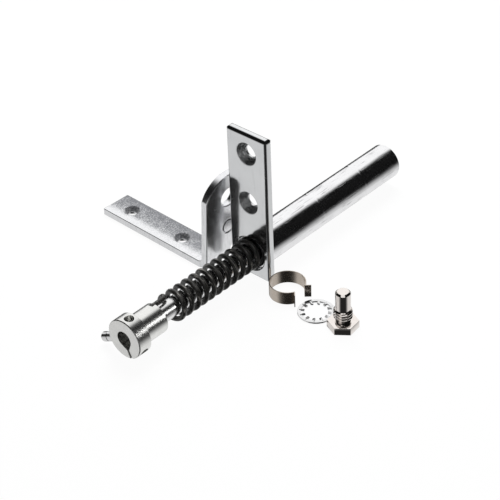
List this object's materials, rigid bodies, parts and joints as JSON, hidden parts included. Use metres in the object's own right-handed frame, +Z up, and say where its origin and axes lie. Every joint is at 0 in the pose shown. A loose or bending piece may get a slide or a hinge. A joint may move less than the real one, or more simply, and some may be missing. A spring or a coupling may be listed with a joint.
{
  "type": "spring pivot hinge",
  "caption": "Spring pivot hinge: countersunk plate with a spring tube, a sprung spindle with a bored collar, and a loose L bracket, pivot bolt, lock washer and tube clip.",
  "frame": {"origin": "where the hinge axis crosses the back face of the mounting plate", "axes": "+Y along the tube, away from the collar; +Z up the plate towards its screw holes; X across the plate"},
  "size_m": [0.1665, 0.199, 0.084],
  "materials": {
    "plate": "bright zinc plate, mirror-like",
    "tube": "bright zinc plate with fine scratches",
    "plug": "turned",
    "collar": "turned and plated, fine turning marks on the face",
    "rod": "ground",
    "ring": "black phosphate",
    "pin": "bright zinc plate",
    "spring": "black satin, oiled",
    "bracket": "satin zinc plate with a fine grain",
    "rivet": "satin zinc plate, set flush",
    "bolt": "warm nickel plate",
    "washer": "bright zinc plate",
    "clip": "cold-rolled spring strip"
  },
  "bodies": {
    "hinge_body": {"mounting_plate": "plate", "spring_tube": "tube", "anchor_plug": "plug", "torsion_spring": "spring", "pivot_bracket": "bracket", "bracket_rivet": "rivet", "pivot_bolt": "bolt", "lock_washer": "washer", "tube_clip": "clip"},
    "spindle": {"spindle_collar": "collar", "spindle_rod": "rod", "rod_ring": "ring", "winding_pin": "pin"}
  },
  "joints": [
    {"name": "spindle_turn", "type": "hinge", "parent": "hinge_body", "child": "spindle", "pos_m": [0, 0, 0], "axis": [0, 1, 0], "range_deg": [0, 120], "stiffness_Nm_per_rad": 0.5, "deforming": ["torsion_spring"]}
  ]
}
